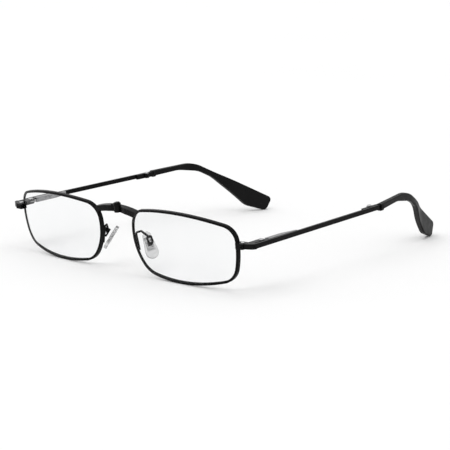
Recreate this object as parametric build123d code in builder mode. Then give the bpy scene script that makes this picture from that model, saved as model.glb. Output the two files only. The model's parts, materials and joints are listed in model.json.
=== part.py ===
from build123d import *
import os
from math import cos, degrees, radians, sin, tan

# Folding reading glasses, in millimetres: a thin metal frame that folds at the bridge and halfway
# along each temple, with adjustable nose pads, spring hinges and plastic temple tips.
#
# Left and right are the wearer's, so left is +X. Every piece is drawn once, for the left side, and
# its mirror image is the right-hand piece. Three frames are used:
#   the design frame: x to the wearer's left, y to the rear, z up, temples level, and the origin
#   midway between the lens centres;
#   the front frame: the design frame leant forward by FACE_TILT, which the rims lie square to;
#   the temple frame: x away from the head, y along the temple, z up, on the end hinge's axis.
# At the end everything is stood on its rims and temple tips, as it stands on a table.

# Lenses and rims
LENS_SPACING = 68.0
FACE_TILT = 4.9
FACE_WRAP = 3.7
BASE_CURVE = 88.0
RIM_WIDTH = 0.9
RIM_DEPTH = 1.15
LENS_FRONT_RADIUS = 84.0
LENS_BACK_RADIUS = 120.0
LENS_EDGE = 0.9
LENS_BEVEL = 0.2
BEVEL_DEPTH = 0.6
OUTLINE_CORNERS = ((-23.15, 10.5), (-18.0, -11.3), (22.2, -9.9), (24.4, 8.8))
OUTLINE_BULGES = (4.0, 2.4, 1.5, 3.1)
OUTLINE_RADII = (7.3, 10.1, 7.5, 6.2)

# Bridge and its hinge
BRIDGE_FOLD = 160.0
BRIDGE_FRONT = 1.5
BRIDGE_DEPTH = 2.5
BRIDGE_CROWN = 10.3
BRIDGE_RISE = 1.6
BRIDGE_HALF_SPAN = 11.7
BRIDGE_HEIGHT = 2.3
BRIDGE_AXIS_X = 1.2
BRIDGE_AXIS_Y = 2.2
BARREL_RADIUS = 1.4
BARREL_BANDS = (9.1, 10.25, 11.45, 12.3)
BRIDGE_SCREW_RADIUS = 0.5

# Temples, in the temple frame
HINGE_X = 63.0
HINGE_Y = 12.3
HINGE_Z = 3.8
SPLAY = 2.2
BAR_THICKNESS = 1.2
BAR_HEIGHT = 1.75
BAR_INNER = 1.7
BAR_START = -5.5
SEAM = 59.9
COLLAR = 64.5
END_HEIGHT = 1.9
LOCK_SPLIT = 3.55

# End hinge: leaf, sprung slider and its housing
EAR_RADIUS = 1.3
HINGE_BANDS = (-0.87, -0.31, 0.31, 0.87)
HINGE_SCREW_RADIUS = 0.5
HOUSING_START = 2.4
HOUSING_END = 17.5
HOUSING_INNER = -0.7
HOUSING_HEIGHT = 1.8
ROD_X = 0.4
ROD_RADIUS = 0.27
ROD_HEAD_RADIUS = 0.57
CAVITY_RADIUS = 0.62
CAVITY_START = 3.3
CAVITY_END = 9.2
ROD_END = 8.9
SPRING_WIRE = 0.2
SPRING_PITCH = 0.5

# Hinge halfway along the temple
MID_AXIS_X = 0.65
MID_AXIS_Y = 60.45
MID_RADIUS = 1.05
MID_LEAF = 0.9
MID_BANDS = (-1.05, -0.4, 0.3, 0.95)
MID_SCREW_RADIUS = 0.4

# Nose pads
PAD_CENTRE = Vector(11.0, 7.8, -3.3)
PAD_DOWN = Vector(0.55, -0.18, -0.81)
PAD_FACING = Vector(-0.60, 0.43, -0.50)
PAD_LENGTH = 10.6
PAD_WIDTH = 5.0
PAD_THICKNESS = 1.3
PAD_BOX_RISE = 0.8
PAD_BOX_BACK = 2.7
PAD_BOX = (2.2, 3.4, 1.9)
PAD_BOX_WALL = 0.3
PAD_BOX_CORNER = 0.85
PAD_BOX_WINDOW = (0.9, 1.9)
PAD_BOSS_WIDTH = 1.3
PAD_BOSS_RADIUS = 0.55
PAD_SCREW_RADIUS = 0.3
PAD_ARM_RADIUS = 0.4
PAD_ARM_POINTS = ((10.3, 3.2, -4.2), (8.9, 3.1, 2.1), (9.9, 5.0, 2.4), (11.6, 6.9, 0.1))
PAD_ARM_BEND = 0.7

CLEARANCE = 0.05
GAP = 0.05
STANCE = 126.0

wrap = radians(FACE_WRAP)
splay = radians(SPLAY)
lens_plane = Plane(
    origin=(LENS_SPACING / 2, 0, 0),
    x_dir=(cos(wrap), sin(wrap), 0),
    z_dir=(sin(wrap), -cos(wrap), 0),
)
temple = Plane(
    origin=(HINGE_X, HINGE_Y, HINGE_Z),
    x_dir=(cos(splay), sin(splay), 0),
    z_dir=(0, 0, 1),
)
temple_side = Plane(origin=temple.origin, x_dir=temple.y_dir, z_dir=temple.x_dir)
temple_end = Plane(origin=temple.origin, x_dir=temple.x_dir, z_dir=temple.y_dir)
bridge_axis = Plane(origin=(BRIDGE_AXIS_X, BRIDGE_AXIS_Y, 0))
pad_plane = Plane(origin=PAD_CENTRE, x_dir=PAD_FACING.cross(PAD_DOWN), z_dir=PAD_FACING)


def shifted(plane, x, y, z=0):
    """The plane moved by a distance along each of its own axes."""
    origin = plane.from_local_coords(Vector(x, y, z))
    return Plane(origin=origin, x_dir=plane.x_dir, z_dir=plane.z_dir)


mid_hinge = shifted(temple, MID_AXIS_X, MID_AXIS_Y)
pad_box_plane = shifted(pad_plane, 0, PAD_BOX_RISE, -PAD_BOX_BACK)
pad_screw_plane = Plane(origin=pad_box_plane.origin, x_dir=pad_plane.y_dir, z_dir=pad_plane.x_dir)
front_lean = Location((0, 0, 0), (FACE_TILT, 0, 0))

pieces = {}


def keep(piece, name, place=Location()):
    """Keep a left-hand piece and its mirror image, both in the design frame."""
    solid = place * piece.part
    pieces[f"{name}_left"] = solid
    pieces[f"{name}_right"] = mirror(solid, about=Plane.YZ)


def keep_one(piece, name, place=Location()):
    """Keep a piece that has no partner on the other side."""
    pieces[name] = place * piece.part


def lens_outline(grow):
    """The lens's outline, grown from the middle line of the rim wire."""
    with BuildSketch() as shape:
        with BuildLine():
            for i, bulge in enumerate(OUTLINE_BULGES):
                SagittaArc(OUTLINE_CORNERS[i], OUTLINE_CORNERS[(i + 1) % 4], -bulge)
        make_face()
        for corner, radius in zip(OUTLINE_CORNERS, OUTLINE_RADII):
            fillet(shape.vertices().sort_by_distance(corner)[0], radius=radius)
        offset(amount=grow)
    return shape.sketch


def ball_centre(radius, apex):
    """Centre of a ball behind the lens whose foremost point is apex behind the lens plane."""
    return Locations(lens_plane.origin - lens_plane.z_dir * (apex + radius))


def lens_sag(radius):
    """How far a surface of this radius falls back at the lens's outer end."""
    half_width = OUTLINE_CORNERS[3][0]
    return half_width**2 / (2 * radius)


# Lens: a meniscus thicker in the middle, with a bevel round its edge that stands in the rim's groove
edge_middle = lens_sag(BASE_CURVE)
front_apex = edge_middle - LENS_EDGE / 2 - lens_sag(LENS_FRONT_RADIUS)
back_apex = edge_middle + LENS_EDGE / 2 - lens_sag(LENS_BACK_RADIUS)
with BuildPart() as bevel:
    with BuildSketch(lens_plane):
        add(lens_outline(LENS_BEVEL - RIM_WIDTH / 2))
        add(lens_outline(-RIM_WIDTH), mode=Mode.SUBTRACT)
    extrude(amount=12, both=True)
    with ball_centre(BASE_CURVE + BEVEL_DEPTH / 2, -BEVEL_DEPTH / 2):
        Sphere(BASE_CURVE + BEVEL_DEPTH / 2, mode=Mode.INTERSECT)
    with ball_centre(BASE_CURVE - BEVEL_DEPTH / 2, BEVEL_DEPTH / 2):
        Sphere(BASE_CURVE - BEVEL_DEPTH / 2, mode=Mode.SUBTRACT)
with BuildPart() as lens:
    with BuildSketch(lens_plane):
        add(lens_outline(-RIM_WIDTH / 2))
    extrude(amount=12, both=True)
    with ball_centre(LENS_FRONT_RADIUS, front_apex):
        Sphere(LENS_FRONT_RADIUS, mode=Mode.INTERSECT)
    with ball_centre(LENS_BACK_RADIUS, back_apex):
        Sphere(LENS_BACK_RADIUS, mode=Mode.SUBTRACT)
    add(bevel.part)
keep(lens, "lens", front_lean)

# Rim: a curved ring of grooved wire, sawn through at its outer end where the lock closes it
with BuildPart() as rim:
    with BuildSketch(lens_plane):
        add(lens_outline(RIM_WIDTH / 2))
        add(lens_outline(-RIM_WIDTH / 2), mode=Mode.SUBTRACT)
    extrude(amount=12, both=True)
    with ball_centre(BASE_CURVE + RIM_DEPTH / 2, -RIM_DEPTH / 2):
        Sphere(BASE_CURVE + RIM_DEPTH / 2, mode=Mode.INTERSECT)
    with ball_centre(BASE_CURVE - RIM_DEPTH / 2, RIM_DEPTH / 2):
        Sphere(BASE_CURVE - RIM_DEPTH / 2, mode=Mode.SUBTRACT)
    add(bevel.part, mode=Mode.SUBTRACT)
    with Locations((LENS_SPACING / 2 + OUTLINE_CORNERS[3][0], edge_middle, LOCK_SPLIT - 0.45)):
        Box(4, 8, 0.3, mode=Mode.SUBTRACT)
keep(rim, "rim", front_lean)
rim_in_place = front_lean * rim.part


def bridge_half(axis, own_bands, has_lug, hole_radius):
    """Half of the arched bridge, from the rim's upper inner corner to the hinge barrel."""
    inner_end = axis.origin.X + GAP / 2
    crown = BRIDGE_CROWN
    foot = crown - BRIDGE_RISE
    tall = BRIDGE_HEIGHT / 2
    span = BRIDGE_HALF_SPAN
    with BuildPart() as half:
        with BuildSketch(Plane.XZ.offset(-BRIDGE_FRONT)):
            with BuildLine():
                top = ThreePointArc((-span, foot + tall), (0, crown + tall), (span, foot + tall))
                low = ThreePointArc((-span, foot - tall), (0, crown - tall), (span, foot - tall))
                Line(top @ 0, low @ 0)
                Line(top @ 1, low @ 1)
            make_face()
            with Locations((inner_end - span, crown)):
                Rectangle(2 * span, 8, mode=Mode.SUBTRACT)
        extrude(amount=-BRIDGE_DEPTH)
        if has_lug:
            with BuildSketch(axis.offset(BARREL_BANDS[1])):
                with Locations((1.8, 0.2)):
                    Rectangle(1.9, 1.8)
            extrude(amount=BARREL_BANDS[3] - BARREL_BANDS[1] - 0.3)
        # The rim takes the end of the bar, and the front is cut back so that the halves fold
        with BuildSketch(lens_plane):
            add(lens_outline(RIM_WIDTH / 2))
        extrude(amount=12, both=True, mode=Mode.SUBTRACT)
        reach = 8.0
        fold_angle = radians((180 - BRIDGE_FOLD) / 2 - 1.0)
        with BuildSketch(axis):
            with BuildLine():
                Polyline((0, 0), (reach, -reach * tan(fold_angle)), (reach, -5), (0, -5), close=True)
            make_face()
        extrude(amount=BARREL_BANDS[2] + GAP / 2, mode=Mode.SUBTRACT)
        for low_end, high_end, own in zip(BARREL_BANDS, BARREL_BANDS[1:], own_bands):
            with BuildSketch(axis.offset(low_end - (0 if own else GAP / 2))):
                Circle(BARREL_RADIUS if own else BARREL_RADIUS + 0.12)
            grow = -GAP / 2 if own else GAP
            extrude(amount=high_end - low_end + grow, mode=Mode.ADD if own else Mode.SUBTRACT)
        with BuildSketch(axis):
            Circle(hole_radius)
        extrude(amount=20, mode=Mode.SUBTRACT)
    return half


def slotted_screw(plane, bottom, seat, radius, head_radius, head_height):
    """A slotted screw along a plane's normal, from bottom up to its head on the seat."""
    with BuildPart() as screw:
        with BuildSketch(plane.offset(bottom)):
            Circle(radius)
        extrude(amount=seat - bottom)
        with BuildSketch(plane.offset(seat)):
            Circle(head_radius)
        extrude(amount=head_height)
        head_edge = screw.edges().filter_by(GeomType.CIRCLE).sort_by(Axis(plane.origin, plane.z_dir))[-1]
        chamfer(head_edge, head_height / 4)
        with BuildSketch(plane.offset(seat + head_height)):
            Rectangle(head_radius * 2.2, head_radius * 0.3)
        extrude(amount=-head_height / 2, mode=Mode.SUBTRACT)
    return screw


# Bridge: the left half has the middle knuckle, the right half the two outer ones
bridge_left = bridge_half(bridge_axis, (False, True, False), False, BRIDGE_SCREW_RADIUS + CLEARANCE)
mirrored_axis = Plane(origin=(-BRIDGE_AXIS_X, BRIDGE_AXIS_Y, 0))
bridge_right = bridge_half(mirrored_axis, (True, False, True), True, BRIDGE_SCREW_RADIUS)
keep_one(bridge_left, "bridge_left", front_lean)
pieces["bridge_right"] = mirror(front_lean * bridge_right.part, about=Plane.YZ)
bridge_screw = slotted_screw(
    bridge_axis, BARREL_BANDS[0], BARREL_BANDS[3] - GAP / 2, BRIDGE_SCREW_RADIUS, 1.1, 0.5
)
keep_one(bridge_screw, "bridge_screw", front_lean)

# End piece: the upper half of the rim lock, a short bar outwards and a corner to the temple line
BAR_MIDDLE = BAR_INNER + BAR_THICKNESS / 2
LOCK_CENTRE = (-2.6, -7.25)
LOCK_SIZE = (3.6, 3.5)
LOCK_LOW = -1.1
LOCK_SCREW_CENTRE = (-2.1, -7.1)
split_height = LOCK_SPLIT - HINGE_Z
with BuildPart() as end_piece:
    with BuildSketch(temple.offset(-END_HEIGHT / 2)):
        with BuildLine():
            corners = ((LOCK_CENTRE[0], -8.1), (0, -7.5), (BAR_MIDDLE, -6.6), (BAR_MIDDLE, BAR_START - GAP))
            FilletPolyline(*corners, radius=1.3)
        trace(line_width=BAR_THICKNESS)
    extrude(amount=END_HEIGHT)
    with BuildSketch(temple.offset(split_height + 0.1)):
        with Locations(LOCK_CENTRE):
            RectangleRounded(*LOCK_SIZE, radius=0.5)
    extrude(amount=END_HEIGHT / 2 - split_height - 0.1)
    with BuildSketch(temple.offset(split_height + 0.1)):
        with Locations(LOCK_CENTRE):
            RectangleRounded(LOCK_SIZE[0] + 0.1, LOCK_SIZE[1] + 0.1, radius=0.55)
    extrude(amount=-END_HEIGHT, mode=Mode.SUBTRACT)
    with BuildSketch(temple):
        with Locations(LOCK_SCREW_CENTRE):
            Circle(0.5)
    extrude(amount=END_HEIGHT, both=True, mode=Mode.SUBTRACT)
    add(rim_in_place, mode=Mode.SUBTRACT)
keep(end_piece, "end_piece")

# Lock block: the lower half of the rim lock, threaded for the lock screw
with BuildPart() as lock_block:
    with BuildSketch(temple.offset(LOCK_LOW)):
        with Locations(LOCK_CENTRE):
            RectangleRounded(*LOCK_SIZE, radius=0.5)
    extrude(amount=split_height - 0.1 - LOCK_LOW)
    with BuildSketch(temple):
        with Locations(LOCK_SCREW_CENTRE):
            Circle(0.5)
    extrude(amount=END_HEIGHT, both=True, mode=Mode.SUBTRACT)
    add(rim_in_place, mode=Mode.SUBTRACT)
keep(lock_block, "lock_block")

lock_axis = shifted(temple, *LOCK_SCREW_CENTRE)
keep(slotted_screw(lock_axis, LOCK_LOW - 0.2, END_HEIGHT / 2, 0.5, 0.9, 0.4), "lock_screw")

# End hinge leaf: brazed inside the end piece's corner, with two ears on the hinge axis
with BuildPart() as end_leaf:
    with BuildSketch(temple.offset(HINGE_BANDS[0])):
        Circle(EAR_RADIUS)
        with Locations((0, -2.6)):
            Rectangle(2 * EAR_RADIUS, 5.2)
        with Locations((BAR_INNER / 2 - 0.3, -6.1)):
            Rectangle(BAR_INNER + 0.6, 2.2)
        Circle(HINGE_SCREW_RADIUS, mode=Mode.SUBTRACT)
    extrude(amount=HINGE_BANDS[3] - HINGE_BANDS[0])
    with BuildSketch(temple.offset(HINGE_BANDS[1] - GAP / 2)):
        Circle(EAR_RADIUS + 0.4)
        with Locations((0, -1.2)):
            Rectangle(2 * EAR_RADIUS, 2.4)
    extrude(amount=HINGE_BANDS[2] - HINGE_BANDS[1] + GAP, mode=Mode.SUBTRACT)
    add(end_piece.part, mode=Mode.SUBTRACT)
keep(end_leaf, "end_hinge_leaf")
keep(
    slotted_screw(temple, HINGE_BANDS[0], HINGE_BANDS[3], HINGE_SCREW_RADIUS, 1.05, 0.25),
    "end_hinge_screw",
)

# Slider: the sprung knuckle of the end hinge, on a rod that runs back into its housing
with BuildPart() as slider:
    with BuildSketch(temple.offset(HINGE_BANDS[1] + GAP / 2)):
        Circle(EAR_RADIUS)
        with Locations((ROD_X, HOUSING_START / 2)):
            Rectangle(1.5, HOUSING_START - 2 * GAP)
        Circle(HINGE_SCREW_RADIUS + CLEARANCE, mode=Mode.SUBTRACT)
    extrude(amount=HINGE_BANDS[2] - HINGE_BANDS[1] - GAP)
    with BuildSketch(temple_end.offset(HOUSING_START - 2 * GAP)):
        with Locations((ROD_X, 0)):
            Circle(ROD_RADIUS)
    extrude(amount=ROD_END - HOUSING_START)
    with BuildSketch(temple_end.offset(ROD_END - 0.7)):
        with Locations((ROD_X, 0)):
            Circle(ROD_HEAD_RADIUS)
    extrude(amount=0.7)
keep(slider, "hinge_slider")

# Spring, wound from square wire: pushes the rod's head away from the front of the housing
spring_length = ROD_END - 0.7 - CAVITY_START - SPRING_WIRE - 2 * GAP
spring_radius = (ROD_RADIUS + CAVITY_RADIUS) / 2
spring_base = shifted(temple_end, ROD_X, 0, CAVITY_START + SPRING_WIRE / 2 + GAP)
with BuildPart() as spring:
    with BuildLine() as coil:
        Helix(SPRING_PITCH, spring_length, spring_radius, spring_base.origin, spring_base.z_dir)
    with BuildSketch(coil.line ^ 0):
        Rectangle(SPRING_WIRE, SPRING_WIRE)
    sweep(is_frenet=True)
keep(spring, "hinge_spring")

# Spring housing: a long tapered box brazed to the inside of the temple bar
with BuildPart() as housing:
    with BuildSketch(temple.offset(-HOUSING_HEIGHT / 2)):
        with BuildLine():
            Polyline(
                (BAR_INNER, HOUSING_START),
                (HOUSING_INNER, HOUSING_START),
                (HOUSING_INNER, CAVITY_END + 0.4),
                (BAR_INNER - 0.6, HOUSING_END),
                (BAR_INNER, HOUSING_END),
                close=True,
            )
        make_face()
    extrude(amount=HOUSING_HEIGHT)
    with BuildSketch(temple_side.offset(-5)):
        with BuildLine():
            Polyline(
                (HOUSING_START - 1, HOUSING_HEIGHT / 2),
                (CAVITY_END, HOUSING_HEIGHT / 2),
                (HOUSING_END, BAR_HEIGHT / 2),
                (HOUSING_END, -BAR_HEIGHT / 2),
                (CAVITY_END, -HOUSING_HEIGHT / 2),
                (HOUSING_START - 1, -HOUSING_HEIGHT / 2),
                close=True,
            )
        make_face()
    extrude(amount=10, mode=Mode.INTERSECT)
    fillet(housing.faces().sort_by(Axis(temple.origin, temple.x_dir))[0].edges(), radius=0.3)
    with BuildSketch(temple_end.offset(CAVITY_START)):
        with Locations((ROD_X, 0)):
            Circle(CAVITY_RADIUS)
    extrude(amount=CAVITY_END - CAVITY_START, mode=Mode.SUBTRACT)
    with BuildSketch(temple_end.offset(HOUSING_START - 1)):
        with Locations((ROD_X, 0)):
            Circle(ROD_RADIUS + CLEARANCE)
    extrude(amount=CAVITY_START, mode=Mode.SUBTRACT)
keep(housing, "spring_housing")

# Temple bar: the flat front half of the temple
with BuildPart(temple) as temple_bar:
    with Locations((BAR_MIDDLE, (BAR_START + SEAM) / 2, 0)):
        Box(BAR_THICKNESS, SEAM - BAR_START, BAR_HEIGHT)
    fillet(temple_bar.edges().filter_by(Axis(temple.origin, temple.y_dir)), radius=0.25)
keep(temple_bar, "temple_bar")


def mid_leaf(start, end, own_bands, hole_radius):
    """A leaf of the hinge halfway along the temple: a plate with knuckles on the axis."""
    with BuildPart() as leaf:
        with BuildSketch(mid_hinge.offset(MID_BANDS[0])):
            with Locations((BAR_INNER - MID_AXIS_X - MID_LEAF / 2, (start + end) / 2 - MID_AXIS_Y)):
                Rectangle(MID_LEAF, end - start)
        extrude(amount=MID_BANDS[3] - MID_BANDS[0])
        for low_end, high_end, own in zip(MID_BANDS, MID_BANDS[1:], own_bands):
            with BuildSketch(mid_hinge.offset(low_end - (0 if own else GAP / 2))):
                Circle(MID_RADIUS if own else MID_RADIUS + 0.12)
                if own:
                    side = 1 if start > MID_AXIS_Y - 1 else -1
                    with Locations((BAR_INNER - MID_AXIS_X - MID_LEAF / 2, side * 0.6)):
                        Rectangle(MID_LEAF, 1.2)
            grow = -GAP / 2 if own else GAP
            extrude(amount=high_end - low_end + grow, mode=Mode.ADD if own else Mode.SUBTRACT)
        with BuildSketch(mid_hinge):
            Circle(hole_radius)
        extrude(amount=5, both=True, mode=Mode.SUBTRACT)
        # The part of the knuckles beyond the bar's inner face would stand in the bar
        with BuildSketch(mid_hinge):
            with Locations((BAR_INNER - MID_AXIS_X + 2, 0)):
                Rectangle(4, 20)
        extrude(amount=5, both=True, mode=Mode.SUBTRACT)
    return leaf


keep(mid_leaf(MID_AXIS_Y - 5, MID_AXIS_Y - 1, (True, False, True), MID_SCREW_RADIUS), "mid_hinge_front_leaf")
keep(
    mid_leaf(MID_AXIS_Y + 0.6, COLLAR - 0.4, (False, True, False), MID_SCREW_RADIUS + CLEARANCE),
    "mid_hinge_rear_leaf",
)
keep(
    slotted_screw(mid_hinge, MID_BANDS[0], MID_BANDS[3] - GAP / 2, MID_SCREW_RADIUS, 0.8, 0.5),
    "mid_hinge_screw",
)

# Shape of the temple end, seen from above and from the side, in the temple frame
PLAN_POINTS = ((BAR_MIDDLE, COLLAR - 0.1), (-2.2, 92.8), (-7.9, 102.6), (-15.2, 124.8))
TIP_THICKNESS = 2.3
TIP_HEIGHT = 2.3
TIP_TOP = ((COLLAR, TIP_HEIGHT / 2), (85.5, 1.75), (119.7, -18.8))
TIP_LOW = ((116.6, -24.1), (107.6, -20.6), (91.4, -3.2), (77.5, -0.45))
TIP_RADII = (16.0, 1.8, 1.8, 8.0, 20.0, 14.0)
TIP_ROUNDING = 0.45
CORE_POINTS = ((COLLAR - 1, 0), (84.5, 0.1), (97.0, -7.4), (110.0, -17.2))
CORE_HEIGHT = 0.9


def plan_strip(width, end):
    """A wall that follows the temple end as seen from above."""
    with BuildPart() as strip:
        with BuildSketch(temple.offset(-40)):
            with BuildLine():
                FilletPolyline(*PLAN_POINTS, radius=30)
            trace(line_width=width)
            with Locations((-20, end + 20)):
                Rectangle(80, 40, mode=Mode.SUBTRACT)
        extrude(amount=50)
    return strip.part


# Temple rear: a short bar behind the seam, then the core wire inside the plastic tip
with BuildPart() as temple_rear:
    with BuildSketch(temple_side.offset(-30)):
        with BuildLine():
            FilletPolyline(*CORE_POINTS, radius=10)
        trace(line_width=CORE_HEIGHT)
    extrude(amount=60)
    add(plan_strip(CORE_HEIGHT, 109), mode=Mode.INTERSECT)
    with BuildSketch(temple_end.offset(SEAM + 2 * GAP)):
        with Locations((BAR_MIDDLE, 0)):
            RectangleRounded(BAR_THICKNESS, BAR_HEIGHT, radius=0.25)
    extrude(amount=COLLAR - SEAM - 2 * GAP)
keep(temple_rear, "temple_rear")

# Temple tip: a plastic sleeve with a collar, bent down and inwards and flared to a flat paddle
with BuildPart() as temple_tip:
    with BuildSketch(temple_side.offset(-30)) as tip_side:
        with BuildLine():
            Polyline(*TIP_TOP, *TIP_LOW, (COLLAR, -TIP_HEIGHT / 2), close=True)
        make_face()
        for corner, radius in zip(TIP_TOP[1:] + TIP_LOW, TIP_RADII):
            fillet(tip_side.vertices().sort_by_distance(corner)[0], radius=radius)
    extrude(amount=60)
    add(plan_strip(TIP_THICKNESS, 125), mode=Mode.INTERSECT)
    long_edges = ShapeList(
        edge
        for edge in temple_tip.edges()
        if temple.to_local_coords(edge.center()).Y > COLLAR + GAP
        and abs((edge % 0.5).dot(temple.x_dir)) < 0.75
    )
    fillet(long_edges, radius=TIP_ROUNDING)
    with BuildSketch(temple_end.offset(COLLAR)):
        with Locations((BAR_MIDDLE - 0.2, 0.2)):
            RectangleRounded(TIP_THICKNESS + 0.6, TIP_HEIGHT + 0.3, radius=0.8)
    extrude(amount=1.2)
    add(temple_rear.part, mode=Mode.SUBTRACT)
keep(temple_tip, "temple_tip")

# Pad box: a small oval cup brazed to the pad arm, which holds the nose pad's boss on a cross screw
def pad_box_block(width, height, corner, bottom):
    """An upright block with rounded corners inside the pad box, from a height up to its open face."""
    with BuildPart() as block:
        with BuildSketch(pad_box_plane.offset(bottom)):
            RectangleRounded(width, height, radius=corner)
        extrude(amount=PAD_BOX[2] / 2 - bottom)
    return block.part


pad_box_outside = pad_box_block(PAD_BOX[0], PAD_BOX[1], PAD_BOX_CORNER, -PAD_BOX[2] / 2)
with BuildPart() as pad_box:
    add(pad_box_outside)
    inner = [side - 2 * PAD_BOX_WALL for side in PAD_BOX[:2]]
    add(
        pad_box_block(*inner, PAD_BOX_CORNER - PAD_BOX_WALL, PAD_BOX_WALL - PAD_BOX[2] / 2),
        mode=Mode.SUBTRACT,
    )
    add(pad_box_block(*PAD_BOX_WINDOW, PAD_BOX_WINDOW[0] * 0.45, -PAD_BOX[2]), mode=Mode.SUBTRACT)
    with BuildSketch(pad_screw_plane):
        Circle(PAD_SCREW_RADIUS)
    extrude(amount=PAD_BOX[0], both=True, mode=Mode.SUBTRACT)
keep(pad_box, "pad_box")
keep(
    slotted_screw(pad_screw_plane, -PAD_BOX[0] / 2, PAD_BOX[0] / 2, PAD_SCREW_RADIUS, 0.6, 0.3),
    "pad_screw",
)

# Pad arm: a wire hairpin from the back of the rim up and over to the top of the pad box
with BuildPart() as pad_arm:
    with BuildLine() as arm_path:
        FilletPolyline(*PAD_ARM_POINTS, radius=PAD_ARM_BEND)
    with BuildSketch(arm_path.line ^ 0):
        Circle(PAD_ARM_RADIUS)
    sweep()
    add(pad_box_outside, mode=Mode.SUBTRACT)
    add(rim_in_place, mode=Mode.SUBTRACT)
keep(pad_arm, "pad_arm")

# Pad core: a stiff plate inside the soft pad, with the boss that turns on the pad screw
with BuildPart(pad_plane) as pad_core:
    with Locations((0, PAD_BOX_RISE / 2, 0)):
        Box(PAD_BOSS_WIDTH + 1.6, PAD_LENGTH * 0.5, 0.5)
    with Locations((0, PAD_BOX_RISE, -PAD_BOX_BACK / 2)):
        Box(PAD_BOSS_WIDTH, 2 * PAD_BOSS_RADIUS, PAD_BOX_BACK)
    with BuildSketch(pad_screw_plane.offset(-PAD_BOSS_WIDTH / 2)):
        Circle(PAD_BOSS_RADIUS)
    extrude(amount=PAD_BOSS_WIDTH)
    with BuildSketch(pad_screw_plane):
        Circle(PAD_SCREW_RADIUS + CLEARANCE)
    extrude(amount=PAD_BOX[0], both=True, mode=Mode.SUBTRACT)
keep(pad_core, "pad_core")

# Nose pad: a clear soft drop-shaped cushion, moulded round its core
with BuildPart() as nose_pad:
    with BuildSketch(pad_plane.offset(-PAD_THICKNESS / 2)):
        with Locations((0, -PAD_LENGTH / 2 + PAD_WIDTH / 2)):
            Circle(PAD_WIDTH / 2)
        with Locations((0, PAD_LENGTH / 2 - PAD_WIDTH / 3)):
            Circle(PAD_WIDTH / 3)
        make_hull()
    extrude(amount=PAD_THICKNESS)
    fillet(nose_pad.edges(), radius=PAD_THICKNESS * 0.35)
    add(pad_core.part, mode=Mode.SUBTRACT)
keep(nose_pad, "nose_pad")


def lowest(name, lean):
    """Height of a piece's lowest point once the glasses are leant back."""
    return (lean * pieces[name]).bounding_box().min.Z


# Stand the glasses on a table: the rims' and the temple tips' lowest points level with each other
tilt = 0.0
for step in range(4):
    lean = Location((0, 0, 0), (tilt, 0, 0))
    tilt += degrees((lowest("rim_left", lean) - lowest("temple_tip_left", lean)) / STANCE)
stand = Location((0, 0, 0), (tilt, 0, 0))
box = Compound([stand * solid for solid in pieces.values()]).bounding_box()
stand = Location((-box.center().X, -box.center().Y, -box.min.Z)) * stand

os.makedirs("parts", exist_ok=True)
for name, solid in pieces.items():
    standing = stand * solid
    standing.label = name
    export_step(standing, f"parts/{name}.step")
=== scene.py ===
import json
import math
import bpy
from mathutils import Matrix, Vector
from mathutils.bvhtree import BVHTree


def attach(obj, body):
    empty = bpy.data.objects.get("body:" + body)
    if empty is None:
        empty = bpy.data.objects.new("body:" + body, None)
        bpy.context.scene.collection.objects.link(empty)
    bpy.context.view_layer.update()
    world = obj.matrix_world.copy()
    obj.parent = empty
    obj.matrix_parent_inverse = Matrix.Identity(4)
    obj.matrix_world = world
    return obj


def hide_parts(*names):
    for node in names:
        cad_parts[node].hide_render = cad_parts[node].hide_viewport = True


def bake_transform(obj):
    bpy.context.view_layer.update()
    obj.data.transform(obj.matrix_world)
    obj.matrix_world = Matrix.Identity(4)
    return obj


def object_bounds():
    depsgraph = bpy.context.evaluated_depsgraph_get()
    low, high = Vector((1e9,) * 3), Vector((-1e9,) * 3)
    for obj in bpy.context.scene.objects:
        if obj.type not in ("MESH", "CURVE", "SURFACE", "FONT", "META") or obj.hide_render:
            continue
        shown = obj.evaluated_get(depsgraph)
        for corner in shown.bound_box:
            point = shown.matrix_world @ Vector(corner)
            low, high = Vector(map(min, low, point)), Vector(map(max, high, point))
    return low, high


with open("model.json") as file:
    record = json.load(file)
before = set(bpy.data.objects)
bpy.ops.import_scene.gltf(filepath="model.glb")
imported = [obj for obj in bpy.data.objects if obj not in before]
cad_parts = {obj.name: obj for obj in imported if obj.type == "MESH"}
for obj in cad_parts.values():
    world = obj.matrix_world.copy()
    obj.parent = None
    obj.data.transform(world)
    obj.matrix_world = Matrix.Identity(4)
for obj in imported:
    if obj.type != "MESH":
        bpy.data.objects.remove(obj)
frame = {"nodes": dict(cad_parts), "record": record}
cad_low, cad_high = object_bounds()
nodes = frame["nodes"]
slots = {entry["node"]: entry["material_slot"] for entry in frame["record"]["subparts"]}


# ---------------------------------------------------------------- materials

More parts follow.
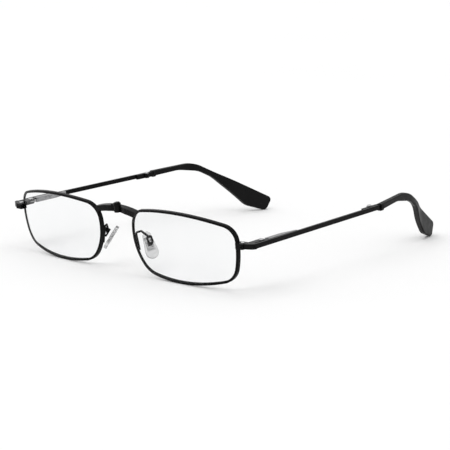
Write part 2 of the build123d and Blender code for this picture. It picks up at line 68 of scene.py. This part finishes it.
class Tree:
    """A material's node tree, built a node at a time."""

    def __init__(self, name):
        self.material = bpy.data.materials.new(name)
        self.material.use_nodes = True
        self.tree = self.material.node_tree
        self.shader = self.tree.nodes["Principled BSDF"]
        self.place = self.new("ShaderNodeTexCoord").outputs["Object"]

    def new(self, kind, **settings):
        node = self.tree.nodes.new(kind)
        for key, value in settings.items():
            setattr(node, key, value)
        return node

    def link(self, out, into):
        self.tree.links.new(out, into)

    def set(self, **values):
        """Constants on the shader's own sockets."""
        for key, value in values.items():
            self.shader.inputs[key.replace("_", " ")].default_value = value

    def noise(self, size, detail=3.0, stretch=(1, 1, 1)):
        """Noise whose features are about `size` metres across, stretched along some axes."""
        scale = self.new("ShaderNodeMapping")
        scale.inputs["Scale"].default_value = [1 / (size * s) for s in stretch]
        noise = self.new("ShaderNodeTexNoise")
        noise.inputs["Scale"].default_value = 1.0
        noise.inputs["Detail"].default_value = detail
        noise.inputs["Roughness"].default_value = 0.55
        self.link(self.place, scale.inputs["Vector"])
        self.link(scale.outputs["Vector"], noise.inputs["Vector"])
        return noise.outputs["Fac"]

    def cells(self, size):
        """Rounded cells about `size` metres across, as on spark-eroded plastic."""
        voronoi = self.new("ShaderNodeTexVoronoi", feature="SMOOTH_F1")
        voronoi.inputs["Scale"].default_value = 1 / size
        self.link(self.place, voronoi.inputs["Vector"])
        return voronoi.outputs["Distance"]

    def spread(self, value, low, high, start=0.3, end=0.7):
        """`value` from start..end spread over low..high."""
        node = self.new("ShaderNodeMapRange")
        for key, number in (("From Min", start), ("From Max", end), ("To Min", low), ("To Max", high)):
            node.inputs[key].default_value = number
        self.link(value, node.inputs["Value"])
        return node.outputs["Result"]

    def mix(self, factor, first, second):
        """A colour between two colours, of which the first may be another node's output."""
        node = self.new("ShaderNodeMix", data_type="RGBA")
        if isinstance(first, tuple):
            node.inputs["A"].default_value = (*first, 1)
        else:
            self.link(first, node.inputs["A"])
        node.inputs["B"].default_value = (*second, 1)
        self.link(factor, node.inputs["Factor"])
        return node.outputs["Result"]

    def colour(self, out):
        self.link(out, self.shader.inputs["Base Color"])

    def roughness(self, out, low, high):
        """Roughness from `low` to `high` as `out` varies."""
        self.link(self.spread(out, low, high), self.shader.inputs["Roughness"])

    def relief(self, out):
        self.link(out, self.shader.inputs["Normal"])

    def bump(self, height, depth, strength, under=None):
        """Relief `depth` metres deep, on top of another relief."""
        node = self.new("ShaderNodeBump")
        node.inputs["Distance"].default_value = depth
        node.inputs["Strength"].default_value = strength
        self.link(height, node.inputs["Height"])
        if under is not None:
            self.link(under, node.inputs["Normal"])
        return node.outputs["Normal"]


def edge_wear(t, low=0.52, high=0.62):
    """How far a spot lies on an outer edge, broken up by noise."""
    geometry = t.new("ShaderNodeNewGeometry")
    edge = t.spread(geometry.outputs["Pointiness"], 0.0, 1.0, low, high)
    patches = t.spread(t.noise(0.0022, 4.0), 0.0, 1.0, 0.42, 0.62)
    both = t.new("ShaderNodeMath", operation="MULTIPLY")
    t.link(edge, both.inputs[0])
    t.link(patches, both.inputs[1])
    return both.outputs["Value"]


def coated_black():
    """Satin black coating on metal: fine orange peel, soft mottling and rubbed edges."""
    t = Tree("satin_black_coating")
    t.set(Metallic=0.0, IOR=1.5, Specular_IOR_Level=0.07)
    mottle = t.noise(0.0035, 4.0)
    worn = edge_wear(t)
    body = t.mix(t.spread(mottle, 0.0, 1.0), (0.0008, 0.0008, 0.0009), (0.0022, 0.0022, 0.0023))
    t.colour(t.mix(t.spread(worn, 0.0, 0.55, 0.0, 1.0), body, (0.0085, 0.0083, 0.0080)))
    t.roughness(t.noise(0.0014, 4.0), 0.20, 0.33)
    t.relief(t.bump(t.noise(0.00035, 2.0), 0.00001, 0.5))
    return t.material


def moulded_black():
    """Matte black moulded plastic with a fine spark-eroded skin."""
    t = Tree("matte_black_plastic")
    t.set(IOR=1.49, Specular_IOR_Level=0.11)
    worn = edge_wear(t, 0.53, 0.66)
    mottle = t.noise(0.006, 5.0)
    body = t.mix(t.spread(mottle, 0.0, 1.0), (0.0024, 0.0024, 0.0025), (0.0050, 0.0050, 0.0051))
    t.colour(t.mix(t.spread(worn, 0.0, 0.5, 0.0, 1.0), body, (0.012, 0.012, 0.012)))
    t.roughness(t.noise(0.003, 4.0), 0.38, 0.52)
    skin = t.bump(t.cells(0.00028), 0.000012, 0.45)
    t.relief(t.bump(t.noise(0.0025, 2.0), 0.00003, 0.2, skin))
    return t.material


def steel(name, dark, light, low, high, stretch):
    """Bare metal with fine lines left by finishing, and dulling in patches."""
    t = Tree(name)
    t.set(Metallic=1.0, IOR=2.5)
    lines = t.noise(0.00012, 3.0, stretch)
    stain = t.noise(0.0016, 4.0)
    t.colour(t.mix(t.spread(stain, 0.0, 1.0), dark, light))
    t.roughness(lines, low, high)
    t.relief(t.bump(lines, 0.000004, 0.4))
    return t.material


def lens_glass():
    """A clear lens with a faint grey cast, a shade uneven as a wiped lens is.

    The low index stands in for the anti-reflection coating, which leaves almost no mirror image."""
    t = Tree("lens_clear_coated")
    t.set(Roughness=0.0, IOR=1.12, Transmission_Weight=1.0)
    smear = t.spread(t.noise(0.009, 3.0, (1, 1, 2.5)), 0.0, 1.0)
    t.colour(t.mix(smear, (0.938, 0.944, 0.948), (0.958, 0.962, 0.965)))
    return t.material


def groove_shaded_edge_glass():
    """The lens's edge: ground matte, and coloured near-black as painted shade from the rim's groove it
    sits in.
    """
    t = Tree("lens_edge_painted_groove_shade")
    t.set(IOR=1.5, Specular_IOR_Level=0.2)
    grit = t.noise(0.00025, 3.0)
    # Near-black colour: painted shade of the rim's groove, not the glass's own colour
    t.colour(t.mix(t.spread(grit, 0.0, 1.0), (0.006, 0.006, 0.007), (0.020, 0.021, 0.022)))
    t.roughness(t.noise(0.0006, 3.0), 0.45, 0.65)
    t.relief(t.bump(grit, 0.00001, 0.4))
    return t.material


def silicone():
    """Clear soft silicone: slightly hazy, with a faint skin."""
    t = Tree("clear_silicone")
    t.set(IOR=1.38, Transmission_Weight=0.97)
    cloud = t.spread(t.noise(0.0012, 3.0), 0.0, 1.0)
    t.colour(t.mix(cloud, (0.65, 0.65, 0.655), (0.76, 0.76, 0.76)))
    t.roughness(t.noise(0.0006, 3.0), 0.06, 0.15)
    t.relief(t.bump(t.noise(0.0005, 2.0), 0.00001, 0.25))
    return t.material


def pad_plastic():
    """The stiffer translucent core that the pad is moulded round."""
    t = Tree("translucent_core")
    t.set(IOR=1.03, Transmission_Weight=0.97)
    cloud = t.spread(t.noise(0.001, 3.0), 0.0, 1.0)
    t.colour(t.mix(cloud, (0.95, 0.95, 0.955), (0.99, 0.99, 0.99)))
    t.roughness(t.noise(0.0005, 3.0), 0.04, 0.12)
    return t.material


def bonded_silicone():
    """The inner face of the pad, which shows no skin because it is moulded onto the core."""
    t = Tree("bonded_silicone")
    t.set(IOR=1.01, Transmission_Weight=1.0, Roughness=0.0)
    cloud = t.spread(t.noise(0.001, 3.0), 0.0, 1.0)
    t.colour(t.mix(cloud, (0.975, 0.975, 0.975), (1.0, 1.0, 1.0)))
    return t.material


finishes = {
    "frame_black": coated_black(),
    "tip_black": moulded_black(),
    "hinge_steel": steel("satin_steel", (0.22, 0.22, 0.225), (0.36, 0.36, 0.365),
                         0.24, 0.40, (1, 14, 1)),
    "screw_steel": steel("turned_screw_steel", (0.50, 0.50, 0.51), (0.70, 0.70, 0.70),
                         0.14, 0.26, (4, 4, 1)),
    "spring_steel": steel("drawn_spring_wire", (0.40, 0.40, 0.42), (0.55, 0.55, 0.57),
                          0.20, 0.34, (1, 6, 1)),
    "lens_clear": lens_glass(),
    "pad_clear": silicone(),
    "pad_core": pad_plastic(),
}
CLEAR = ("lens_clear", "pad_clear", "pad_core")
groove_shade_edge = groove_shaded_edge_glass()
bonded = bonded_silicone()


# ---------------------------------------------------------------- pieces

LENS_FACE_COSINE = 0.6
BOND_DISTANCE = 0.00015


def dress(obj, slot_name):
    """Gives a CAD node's own material slots their finish."""
    for holder in obj.material_slots:
        holder.link = "OBJECT"
        holder.material = finishes[slot_name]
    if slot_name in CLEAR:
        obj.visible_shadow = False


def stand_in(name, suffix, *materials):
    """A new object with a CAD node's mesh and these materials, to be shown instead of the node."""
    obj = bpy.data.objects.new(name + suffix, nodes[name].data.copy())
    bpy.context.scene.collection.objects.link(obj)
    obj.data.materials.clear()
    for material in materials:
        obj.data.materials.append(material)
    obj.visible_shadow = slots[name] not in CLEAR
    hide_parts(name)
    return obj


def edged_lens(name, body):
    """A lens whose edge is ground matte and coloured near-black, as painted shade, where it stands in the
    rim.
    """
    lens = stand_in(name, "_glass", finishes["lens_clear"], groove_shade_edge)
    faces = lens.data.polygons
    facing = sum((f.normal * f.area * (1 if f.normal.y < 0 else -1) for f in faces), Vector()).normalized()
    for face in faces:
        # Edge faces take the near-black painted-shade edge material
        face.material_index = 1 if abs(face.normal.dot(facing)) < LENS_FACE_COSINE else 0
    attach(lens, body)


def moulded_pad(name, core_name, body):
    """A nose pad with no skin to be seen where it is bonded to its core."""
    core = nodes[core_name].data
    surface = BVHTree.FromPolygons([v.co for v in core.vertices], [f.vertices[:] for f in core.polygons])
    pad = stand_in(name, "_silicone", finishes["pad_clear"], bonded)
    for face in pad.data.polygons:
        touching = surface.find_nearest(face.center, BOND_DISTANCE)[0] is not None
        face.material_index = 1 if touching else 0
    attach(pad, body)


def squeezed_spring(name):
    """The coil spring, which sits between its housing's front wall and the head of its rod; its mesh is
    copied with its placement baked in.
    """
    coil = stand_in(name, "_coil", finishes["spring_steel"])
    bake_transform(coil)


for name, obj in nodes.items():
    dress(obj, slots[name])
for side in ("left", "right"):
    edged_lens("lens_" + side, "front_" + side)
    moulded_pad("nose_pad_" + side, "pad_core_" + side, "nose_pad_" + side)
    squeezed_spring("hinge_spring_" + side)


# ---------------------------------------------------------------- floor, light and camera

FLOOR_REACH = 12.0
FLOOR_GAP = 0.0001
SKY_STRENGTH = 0.86

# Where the camera stands round its target, in degrees and metres
AZIMUTH, ELEVATION, ROLL = 44.87, 10.92, -0.90
TARGET = Vector((0.02837, -0.03572, 0.01685))
DISTANCE = 0.5849
FOCAL_LENGTH = 126.97
SENSOR_WIDTH = 36.0


def direction(azimuth, elevation):
    """The unit vector towards azimuth 0 along -Y and 90 along +X, raised by elevation."""
    a, e = math.radians(azimuth), math.radians(elevation)
    return Vector((math.sin(a) * math.cos(e), -math.cos(a) * math.cos(e), math.sin(e)))


def pale_floor():
    """Off-white paper, very slightly uneven."""
    t = Tree("pale_floor")
    t.set(Specular_IOR_Level=0.1)
    cloud = t.spread(t.noise(0.4, 2.0), 0.0, 1.0)
    t.colour(t.mix(cloud, (0.90, 0.90, 0.90), (0.915, 0.915, 0.915)))
    t.roughness(t.noise(0.02, 3.0), 0.72, 0.80)
    return t.material


def lamp(name, azimuth, elevation, strength, spread):
    """Soft light from a direction, the same all over the floor."""
    data = bpy.data.lights.new(name, "SUN")
    data.energy = strength
    data.angle = math.radians(spread)
    obj = bpy.data.objects.new(name, data)
    obj.rotation_mode = "QUATERNION"
    obj.rotation_quaternion = direction(azimuth, elevation).to_track_quat("Z", "Y")
    bpy.context.scene.collection.objects.link(obj)


floor_mesh = bpy.data.meshes.new("floor")
corners = [(x * FLOOR_REACH, y * FLOOR_REACH, 0) for x, y in ((-1, -1), (1, -1), (1, 1), (-1, 1))]
floor_mesh.from_pydata(corners, [], [(0, 1, 2, 3)])
floor_mesh.materials.append(pale_floor())
floor = bpy.data.objects.new("floor", floor_mesh)
floor.location.z = cad_low.z - FLOOR_GAP
bpy.context.scene.collection.objects.link(floor)

world = bpy.data.worlds.new("studio")
world.use_nodes = True
background = world.node_tree.nodes["Background"]
background.inputs["Color"].default_value = (1.0, 1.0, 1.0, 1)
background.inputs["Strength"].default_value = SKY_STRENGTH
bpy.context.scene.world = world

lamp("overhead", 0, 84, 0.55, 60)
lamp("key", 10, 52, 0.35, 25)

camera_data = bpy.data.cameras.new("camera")
camera_data.sensor_width = SENSOR_WIDTH
camera_data.lens = FOCAL_LENGTH
camera_data.clip_start = 0.01
camera_data.clip_end = 100.0
camera = bpy.data.objects.new("camera", camera_data)
back = direction(AZIMUTH, ELEVATION)
right = direction(AZIMUTH + 90, 0)
turn = Matrix((right, back.cross(right), back)).transposed().to_4x4()
roll = Matrix.Rotation(math.radians(ROLL), 4, "Z")
camera.matrix_world = Matrix.Translation(TARGET + back * DISTANCE) @ turn @ roll
bpy.context.scene.collection.objects.link(camera)
bpy.context.scene.camera = camera
bpy.context.scene.view_settings.view_transform = "Standard"
